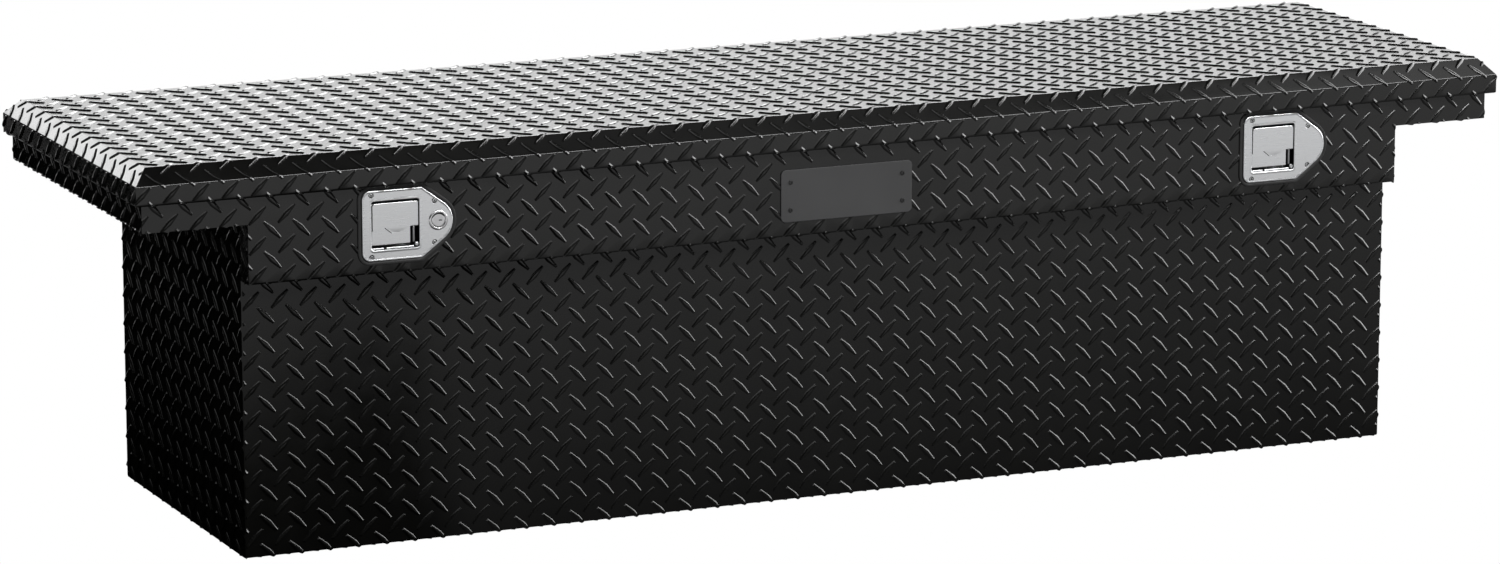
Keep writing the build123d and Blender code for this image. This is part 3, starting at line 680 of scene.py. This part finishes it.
def rounded(corners, radii, inset=0.0, steps=6):
    """Outline of a counter-clockwise polygon moved inwards by inset, each corner rounded."""
    points = np.array(corners, float)
    count = len(points)
    heading = np.roll(points, -1, 0) - points
    heading /= np.linalg.norm(heading, axis=1)[:, None]
    inward = np.stack([-heading[:, 1], heading[:, 0]], 1)
    moved = points + inward * inset
    ring = []
    for k in range(count):
        before, after = heading[k - 1], heading[k]
        cross = before[0] * after[1] - before[1] * after[0]
        gap = moved[k] - moved[k - 1]
        corner = moved[k - 1] + before * (gap[0] * after[1] - gap[1] * after[0]) / cross
        side = 1.0 if cross > 0 else -1.0
        radius = max(radii[k] - side * inset, 0.05)
        turn = math.acos(float(np.clip(before @ after, -1, 1)))
        start = corner - before * radius * math.tan(turn / 2)
        centre = start + side * inward[k - 1] * radius
        for angle in np.linspace(0, turn, steps + 1):
            arm = -side * inward[k - 1] * math.cos(angle) + before * math.sin(angle)
            ring.append(centre + arm * radius)
    return np.array(ring)


def circle(x, z, radius, count=32):
    """A flat ring of (x, z) points."""
    angles = np.linspace(0, 2 * math.pi, count, endpoint=False)
    return np.stack([x + radius * np.cos(angles), z + radius * np.sin(angles)], 1)


def set_at(ring, y):
    """A flat (x, z) ring placed at depth y."""
    return np.stack([ring[:, 0], np.full(len(ring), float(y)), ring[:, 1]], 1)


def skin_rings(rings, closed=False, first=False, last=False):
    """Join rings of equal count with quads.

    closed joins the last ring to the first; first and last cap the ends.
    """
    count = len(rings[0])
    faces = []
    pairs = len(rings) if closed else len(rings) - 1
    for k in range(pairs):
        a, b = k * count, (k + 1) % len(rings) * count
        faces += [(a + i, a + (i + 1) % count, b + (i + 1) % count, b + i) for i in range(count)]
    if first:
        faces.append(tuple(range(count)))
    if last:
        faces.append(tuple(range((len(rings) - 1) * count, len(rings) * count)))
    return np.concatenate(rings) * MM, faces


def flat_face(outer, holes, y, grooves=()):
    """A flat face at depth y with holes, and grooves given as (outline, floor line, depth)."""
    rings = [[tuple(p) for p in ring] for ring in holes]
    lugs = [[tuple(p) for p in ring] for ring, _, _ in grooves]
    lines = [tuple(map(tuple, line)) for _, line, _ in grooves]
    spots, tris = cut_plan([tuple(p) for p in outer], rings, lines, lugs)
    depth = np.full(len(spots), float(y))
    for _, line, sunk in grooves:
        for end in line:
            depth[np.hypot(spots[:, 0] - end[0], spots[:, 1] - end[1]) < 0.02] = y + sunk
    return np.stack([spots[:, 0], depth, spots[:, 1]], 1) * MM, [tuple(map(int, t)) for t in tris]


def turned(x, z, profile, closed=False, count=32):
    """A round part on an axis along Y, from (radius, y) pairs."""
    rings = [set_at(circle(x, z, r, count), y) for r, y in profile]
    return skin_rings(rings, closed, not closed, not closed)


def slab(corners, radii, profile, steps=6):
    """A solid plate from (inset, y) pairs, capped at both ends."""
    rings = [set_at(rounded(corners, radii, inset, steps), y) for inset, y in profile]
    return skin_rings(rings, False, True, True)


def cross_slot(x, z, reach, half, turn):
    """Outline of a cross recess."""
    points = [(reach, -half), (reach, half), (half, half), (half, reach), (-half, reach), (-half, half),
              (-reach, half), (-reach, -half), (-half, -half), (-half, -reach), (half, -reach), (half, -half)]
    c, s = math.cos(turn), math.sin(turn)
    return np.array([(x + c * px - s * pz, z + s * px + c * pz) for px, pz in points])


SHANK_R = 1.4


def pan_screw(x, z, face, radius, rise, shank, turn):
    """A pan-head screw with a cross recess, its head on the face at depth face."""
    top = face - rise
    crown = circle(x, z, radius * 0.62)
    slot = cross_slot(x, z, radius * 0.56, radius * 0.22, turn)
    rings = [set_at(circle(x, z, r), y) for r, y in (
        (SHANK_R, shank), (SHANK_R, face), (radius, face), (radius, face - rise * 0.45),
        (radius * 0.9, face - rise * 0.8))]
    rings.append(set_at(crown, top))
    return [
        skin_rings(rings, first=True),
        flat_face(crown, [slot], top),
        skin_rings([set_at(slot, top), set_at(slot, top + rise * 0.7)], last=True),
    ]


# ---------------------------------------------------------------- latches

PLATE_CORNERS = ((-40.9, -41.5), (32.5, -41.5), (88.7, 0.0), (32.5, 41.5), (-40.9, 41.5))
PLATE_RADII = (10.0, 6.0, 26.0, 6.0, 10.0)
MOUTH_HALF_X, MOUTH_HALF_Z, MOUTH_R = 29.3, 28.7, 3.0
DISH_BACK, DISH_GAUGE = -229.0, 1.2
PLATE_BACK, PLATE_FACE, PADDLE_FACE = -244.1, -245.9, -245.6
SCREW_RISE, SCREW_END = 1.3, FASCIA_FRONT - 0.1
SCREW_SPOTS = ((-29.6, 36.1), (48.1, 24.0), (-29.5, -36.9), (48.1, -25.0))


def moved(corners, x, z):
    """Corners shifted by x and z."""
    return [(x + a, z + b) for a, b in corners]


def plate_ring(x, inset, y):
    """The latch plate's outline moved inwards by inset, at depth y."""
    return set_at(rounded(moved(PLATE_CORNERS, x, LATCH_Z), PLATE_RADII, inset, 10), y)


def mouth_ring(x, inset, y):
    """The dish's outline moved inwards by inset, at depth y."""
    corners = rect(x, LATCH_Z, MOUTH_HALF_X, MOUTH_HALF_Z)
    return set_at(rounded(corners, (MOUTH_R,) * 4, inset, 6), y)


def flat(ring):
    """A ring without its depth."""
    return ring[:, (0, 2)]


def latch_plate(side, x, lock):
    """Pressed plate: rolled edge, raised lip round the dish, screw dimples and the dish's details."""
    edge = [plate_ring(x, inset, y) for inset, y in (
        (0.0, PLATE_BACK), (0.0, -245.3), (0.3, -246.0), (0.9, -246.35), (1.6, -246.3), (2.3, -246.0),
        (2.7, PLATE_FACE), (3.0, PLATE_FACE))]
    mouth = [mouth_ring(x, inset, y) for inset, y in (
        (-3.3, PLATE_FACE), (-3.0, PLATE_FACE), (-2.4, -246.05), (-1.5, -246.3), (-0.7, -246.25),
        (-0.2, -245.9), (0.0, -245.4), (0.0, -231.8), (0.5, -230.8), (1.5, DISH_BACK - DISH_GAUGE))]
    shell = [mouth_ring(x, inset, y) for inset, y in (
        (-DISH_GAUGE, PLATE_BACK), (-DISH_GAUGE, -230.6), (-0.4, -229.4), (1.2, DISH_BACK))]
    tubes, front_holes, back_holes = [], [], []
    for a, b in SCREW_SPOTS:
        rings = [set_at(circle(x + a, LATCH_Z + b, r), y) for r, y in (
            (3.5, PLATE_FACE), (3.15, -245.6), (3.0, -244.4), (1.7, -244.3), (1.7, PLATE_BACK))]
        tubes.append(skin_rings(rings))
        front_holes.append(flat(rings[0]))
        back_holes.append(flat(rings[-1]))
    if lock:
        rings = [set_at(circle(*lock, 10.1), y) for y in (PLATE_FACE, PLATE_BACK)]
        tubes.append(skin_rings(rings))
        front_holes.append(flat(rings[0]))
        back_holes.append(flat(rings[-1]))
    parts = [
        skin_rings(edge),
        skin_rings(mouth, last=True),
        skin_rings(shell, last=True),
        flat_face(flat(edge[-1]), [flat(mouth[0])] + front_holes, PLATE_FACE),
        flat_face(flat(edge[0]), [flat(shell[0])] + back_holes, PLATE_BACK),
    ] + tubes
    parts += dish_details(x)
    # Its material paints shade deep in the dish and the screw dimples
    add_piece(f"{side}_latch_pressing", parts, LATCH_STEEL_PAINTED_SHADE, "box", f"{side}_latch_plate")


def bar_along_x(x0, x1, y, z, radius, count=20):
    """A round bar with softened ends."""
    rings = []
    for x, r in ((x0, radius * 0.8), (x0 + 0.3, radius), (x1 - 0.3, radius), (x1, radius * 0.8)):
        disc = circle(y, z, r, count)
        rings.append(np.stack([np.full(count, float(x)), disc[:, 0], disc[:, 1]], 1))
    return skin_rings(rings, False, True, True)


def dish_details(x):
    """Two rolled stops under the paddle, the rivet in the corner and the rib beside the finger gap."""
    z = LATCH_Z
    parts = [
        bar_along_x(x - 28.6, x - 14.0, -244.3, z - 27.2, 1.1),
        bar_along_x(x - 11.5, x + 22.5, -244.3, z - 27.2, 1.1),
        turned(x + 26.2, z - 25.2, (
            (2.2, -230.0), (2.2, -243.2), (2.9, -243.2), (2.9, -244.0), (2.4, -244.8), (1.4, -245.3),
            (0.4, -245.4)), count=24),
    ]
    rib = rect(x + 22.6, z - 13.2, 1.7, 9.6)
    parts.append(slab(rib, (0.8,) * 4, ((0.0, -230.0), (0.0, -243.5), (0.4, -244.5), (1.1, -244.9)), 3))
    return parts


def latch_gasket(side, x):
    """Rubber moulding whose rounded bead shows all round the plate."""
    rings = [plate_ring(x, inset, y) for inset, y in (
        (-4.7, FASCIA_FRONT), (-5.0, -243.9), (-4.6, -244.8), (-3.4, -245.3), (-1.8, -245.2), (-0.7, -244.7),
        (-0.1, -244.0), (-0.1, FASCIA_FRONT))]
    bead = skin_rings(rings, closed=True)
    add_piece(f"{side}_latch_seal", [bead], RUBBER, "box", f"{side}_latch_gasket")


def latch_screws(side, x):
    """Four screws in the dimples, each turned its own way."""
    parts = []
    for k, (a, b) in enumerate(SCREW_SPOTS):
        turn = 0.3 + 0.5 * k
        parts += pan_screw(x + a, LATCH_Z + b, -244.35, 2.3, SCREW_RISE, SCREW_END, turn)
    # Their material paints shade low on each head
    add_piece(f"{side}_plate_screws", parts, SCREW_STEEL_PAINTED_SHADE, "box", f"{side}_latch_screws")


def paddle(side, x):
    """Pull plate with rolled edges and a pressed mark, its two ears and the tail that works the shaft."""
    z = LATCH_Z
    bottom, top = z - 23.0, z + 25.9
    corners = [
        (x - 29.2, bottom), (x + 18.1, bottom), (x + 18.1, z - 3.4), (x + 28.1, z - 3.4), (x + 28.1, top),
        (x - 28.1, top), (x - 28.1, z - 6.5), (x - 29.2, z - 6.5)]
    radii = (0.6, 1.2, 0.8, 1.2, 3.6, 3.6, 0.4, 0.4)
    edge = [set_at(rounded(corners, radii, inset, 5), y) for inset, y in (
        (0.9, -243.6), (0.1, -243.8), (0.0, -245.1), (0.1, -245.4), (0.3, -245.55), (0.55, PADDLE_FACE),
        (0.85, PADDLE_FACE))]
    mark = [(x - 13.6, z - 3.2), (x - 12.4, z - 4.6), (x - 5.2, z - 10.3), (x - 4.6, z - 10.4),
            (x - 5.3, z - 9.2), (x - 12.6, z - 3.2)]
    trail = [(x - 4.0, z - 9.2), (x + 2.5, z - 9.9), (x + 9.5, z - 9.0), (x + 2.5, z - 8.7)]
    grooves = [
        (mark[::-1], ((x - 12.9, z - 3.85), (x - 5.4, z - 9.85)), 1.7),
        (trail, ((x - 2.0, z - 9.25), (x + 7.5, z - 9.1)), 0.1),
    ]
    parts = [
        skin_rings(edge, first=True),
        flat_face(flat(edge[-1]), [], PADDLE_FACE, grooves),
    ]
    y, pin = -242.0, 411.5
    ear = [(-244.6, 412.3), (y + 2.6, 412.3), (y + 5.0, pin - 6), (y + 2.5, z), (-244.6, z)]
    for low, high in ((x - 27.9, x - 26.6), (x + 26.6, x + 27.9)):
        parts.append(side_plate(ear, 1.0, low, high))
    tail = [(-244.6, pin - 12), (y + 3, pin - 8), (y + 3.2, pin + 1), (y + 3.8, pin + 11.2),
            (y + 2.2, pin + 11.2), (y + 0.2, pin + 1.8), (-244.6, pin + 1.8)]
    parts.append(side_plate(tail, 0.5, x - 16.5, x - 11.5))
    # Its material paints shade on the paddle's edges and back
    add_piece(f"{side}_pull_paddle", parts, PADDLE_STEEL_PAINTED_SHADE, f"{side}_paddle", f"{side}_paddle")


def side_plate(corners, radius, low, high):
    """A plate standing across the X axis, from a (y, z) outline in either direction."""
    area = sum(a[0] * b[1] - b[0] * a[1] for a, b in zip(corners, corners[1:] + corners[:1]))
    loop = corners if area > 0 else corners[::-1]
    rings = []
    for inset, at in ((0.25, low), (0.0, low + 0.25), (0.0, high - 0.25), (0.25, high)):
        ring = rounded(loop, (radius,) * len(loop), inset, 4)
        rings.append(np.stack([np.full(len(ring), float(at)), ring[:, 0], ring[:, 1]], 1))
    return skin_rings(rings, False, True, True)


def lock_parts(x, z):
    """Bezel with its barrel, and the turning plug with a keyway."""
    profile = ((10.0, -224.0), (10.0, PLATE_FACE), (11.7, PLATE_FACE), (11.7, -246.5), (11.3, -246.95),
               (10.6, -247.15), (9.6, -247.2), (8.95, -247.1), (8.7, -246.9), (8.7, -224.0))
    add_piece("lock_bezel", [turned(x, z, profile, closed=True, count=48)], CHROME, "box", "lock_cylinder",
              35.0)
    face = -247.0
    rim = [set_at(circle(x, z, r, 48), y) for r, y in (
        (8.5, -222.0), (8.5, -246.3), (8.25, -246.75), (7.6, -246.95), (7.0, face), (6.7, face))]
    key = np.array(rounded(rect(x + 2.4, z, 2.1, 0.8), (0.5,) * 4, 0.0, 3))
    parts = [
        skin_rings(rim, first=True),
        flat_face(flat(rim[-1]), [key], face),
        skin_rings([set_at(key, face), set_at(key, face + 7.0)], last=True),
    ]
    add_piece("lock_face", parts, CHROME, "lock_plug", "lock_plug", 35.0)


def front_rect(node, inset=0.0):
    """Corners of a node's box seen from the front, moved inwards by inset."""
    low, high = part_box(node)
    return rect((low.x + high.x) / 2 / MM, (low.z + high.z) / 2 / MM, (high.x - low.x) / 2 / MM - inset,
                (high.z - low.z) / 2 / MM - inset)


def name_plate():
    """Blank plate with a softened edge, and its four screws."""
    low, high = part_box("name_plate")
    back, front = high.y / MM, low.y / MM - 0.4        # stands over the lugs round its edge
    profile = ((0.0, back), (0.0, front + 0.5), (0.2, front + 0.15), (0.6, front), (0.9, front))
    plate = slab(front_rect("name_plate"), (6.0,) * 4, profile)
    add_piece("blank_name_plate", [plate], PLATE_GREY, "box", "name_plate")
    radius = 2.8
    parts = []
    for k, (x, z) in enumerate(front_rect("name_plate_screws", radius)):
        parts += pan_screw(x, z, front, radius, SCREW_RISE, SCREW_END, 0.2 + 0.6 * k)
    add_piece("name_plate_fixings", parts, HINGE_BLACK, "box", "name_plate_screws")


lid_skin()
tub_wrap()
end_walls()
fascia()
rear_wall()
wing_pans()
lock_spot = (sum(span("lock_cylinder", 0)) / 2, sum(span("lock_cylinder", 2)) / 2)
for side in ("left", "right"):
    latch_x = latch_centre(side)[0]
    latch_plate(side, latch_x, lock_spot if side == "left" else None)
    latch_gasket(side, latch_x)
    latch_screws(side, latch_x)
    paddle(side, latch_x)
lock_parts(*lock_spot)
name_plate()


# ---------------------------------------------------------------- camera, floor and light

CAMERA_PLACE = (-2.9997, -6.7189, 1.8076)
CAMERA_DOWN, CAMERA_TURN = 0.21232, 0.41797     # radians below level, and to the right of straight on
CAMERA_LENS, SENSOR_WIDTH = 146.93, 36.0        # millimetres
FLOOR_REACH, FLOOR_NEAR, FLOOR_FAR = 2.4, 0.08, 0.8     # brightness grows this far from the box
FLOOR_HALF = 30.0
FILL = 0.02                                     # brightness of the world as a reflector


def aim(thing, place, target):
    """Place a light and point it at a target."""
    thing.location = place
    thing.rotation_euler = (Vector(target) - Vector(place)).to_track_quat("-Z", "Y").to_euler()


def add_camera():
    """Long lens, a little above the box and to its left."""
    data = bpy.data.cameras.new("camera")
    data.lens = CAMERA_LENS
    data.sensor_width = SENSOR_WIDTH
    data.clip_end = 100.0
    camera = bpy.data.objects.new("camera", data)
    camera.location = CAMERA_PLACE
    camera.rotation_euler = (math.pi / 2 - CAMERA_DOWN, 0.0, -CAMERA_TURN)
    bpy.context.scene.collection.objects.link(camera)
    bpy.context.scene.camera = camera


def grade(nodes, links, value, low, high, start, end, curve="SMOOTHSTEP"):
    """Go from start to end as the value goes from low to high."""
    ramp = nodes.new("ShaderNodeMapRange")
    ramp.interpolation_type = curve
    for key, number in (("From Min", low), ("From Max", high), ("To Min", start), ("To Max", end)):
        ramp.inputs[key].default_value = number
    links.new(value, ramp.inputs["Value"])
    return ramp.outputs["Result"]


def combine(nodes, links, operation, a, b=None):
    """A maths node on two values, each a number or another node's output."""
    node = nodes.new("ShaderNodeMath")
    node.operation = operation
    for index, value in enumerate((a, b)):
        if isinstance(value, (int, float)):
            node.inputs[index].default_value = value
        elif value is not None:
            links.new(value, node.inputs[index])
    return node.outputs["Value"]


def add_floor():
    """Plain white to look at; as a reflector it darkens close to the box and behind its left end."""
    mesh = bpy.data.meshes.new("floor")
    half = FLOOR_HALF
    corners = [(-half, -half, 0), (half, -half, 0), (half, half, 0), (-half, half, 0)]
    mesh.from_pydata(corners, [], [(0, 1, 2, 3)])
    material = bpy.data.materials.new("floor_white")
    material.use_nodes = True
    nodes, links = material.node_tree.nodes, material.node_tree.links
    nodes.remove(nodes["Principled BSDF"])
    where = nodes.new("ShaderNodeTexCoord")
    axes = nodes.new("ShaderNodeSeparateXYZ")
    links.new(where.outputs["Object"], axes.inputs["Vector"])
    x, y = axes.outputs["X"], axes.outputs["Y"]
    out_x = combine(nodes, links, "SUBTRACT", combine(nodes, links, "ABSOLUTE", x), TUB_X * MM)
    out_y = combine(nodes, links, "SUBTRACT", combine(nodes, links, "ABSOLUTE", y), -TUB_FRONT * MM)
    away = combine(nodes, links, "MAXIMUM", out_x, out_y)
    level = grade(nodes, links, away, 0.0, FLOOR_REACH, FLOOR_NEAR, FLOOR_FAR, "LINEAR")
    # Dark where the left end's mirror image of the floor falls: behind the box and just left of it
    left = combine(nodes, links, "MULTIPLY", combine(nodes, links, "ADD", x, TUB_X * MM), -1.0)
    behind = combine(nodes, links, "MULTIPLY", combine(nodes, links, "ADD", y, 0.3), 0.8)
    clear = grade(nodes, links, combine(nodes, links, "SUBTRACT", left, behind), 0.0, 0.5, 0.0, 1.0)
    corner = combine(nodes, links, "MULTIPLY", combine(nodes, links, "ADD", y, -0.25), 0.34)
    ahead = grade(nodes, links, combine(nodes, links, "SUBTRACT", left, corner), -0.14, -0.05, 1.0, 0.0)
    level = combine(nodes, links, "MULTIPLY", level, combine(nodes, links, "MAXIMUM", clear, ahead))
    shine = nodes.new("ShaderNodeEmission")
    links.new(level, shine.inputs["Strength"])
    seen = nodes.new("ShaderNodeEmission")
    path = nodes.new("ShaderNodeLightPath")
    mix = nodes.new("ShaderNodeMixShader")
    links.new(path.outputs["Is Camera Ray"], mix.inputs["Fac"])
    links.new(shine.outputs["Emission"], mix.inputs[1])
    links.new(seen.outputs["Emission"], mix.inputs[2])
    links.new(mix.outputs["Shader"], nodes["Material Output"].inputs["Surface"])
    mesh.materials.append(material)
    floor = bpy.data.objects.new("floor", mesh)
    bpy.context.scene.collection.objects.link(floor)


def add_card(name, place, target, width, height, level):
    """A soft light of even brightness, aimed at a point."""
    data = bpy.data.lights.new(name, "AREA")
    data.shape = "RECTANGLE"
    data.size, data.size_y = width, height
    data.energy = level * math.pi * width * height
    light = bpy.data.objects.new(name, data)
    aim(light, place, target)
    bpy.context.scene.collection.objects.link(light)


def add_world():
    """White behind everything, and a dim even fill."""
    world = bpy.data.worlds.new("studio")
    bpy.context.scene.world = world
    world.use_nodes = True
    nodes, links = world.node_tree.nodes, world.node_tree.links
    nodes["Background"].inputs["Color"].default_value = (1, 1, 1, 1)
    nodes["Background"].inputs["Strength"].default_value = FILL
    seen = nodes.new("ShaderNodeBackground")
    seen.inputs["Color"].default_value = (1, 1, 1, 1)
    path = nodes.new("ShaderNodeLightPath")
    mix = nodes.new("ShaderNodeMixShader")
    links.new(path.outputs["Is Camera Ray"], mix.inputs["Fac"])
    links.new(nodes["Background"].outputs["Background"], mix.inputs[1])
    links.new(seen.outputs["Background"], mix.inputs[2])
    links.new(mix.outputs["Shader"], nodes["World Output"].inputs["Surface"])


bpy.context.scene.view_settings.view_transform = "Standard"
add_camera()
add_floor()
add_world()
add_card("back_card", (2.6, 5.6, 1.5), (0, 0, 0.45), 8.0, 2.0, 1.6)
add_card("high_back_card", (1.8, 4.9, 3.45), (0, 0, 0.45), 5.0, 1.4, 9.0)
add_card("left_back_card", (-1.7, 5.4, 2.9), (0, 0, 0.45), 4.5, 2.6, 4.8)
add_card("right_card", (4.3, 0.1, 1.9), (0, 0, 0.4), 3.6, 3.0, 8.0)
add_card("overhead_card", (3.9, -1.1, 4.2), (0, 0, 0.4), 3.4, 2.0, 0.9)
add_card("middle_card", (2.0, -1.2, 4.2), (0.6, -0.3, 0.4), 1.5, 2.0, 0.2)
add_card("left_card", (-3.9, 0.9, 2.2), (-0.8, 0, 0.35), 1.6, 1.2, 0.75)
add_card("front_left_card", (-2.0, -2.9, 3.35), (0, -0.25, 0.3), 3.4, 1.4, 1.3)
add_card("front_strip", (2.4, -4.1, 3.9), (0, 0, 0.4), 6.0, 0.9, 20.0)
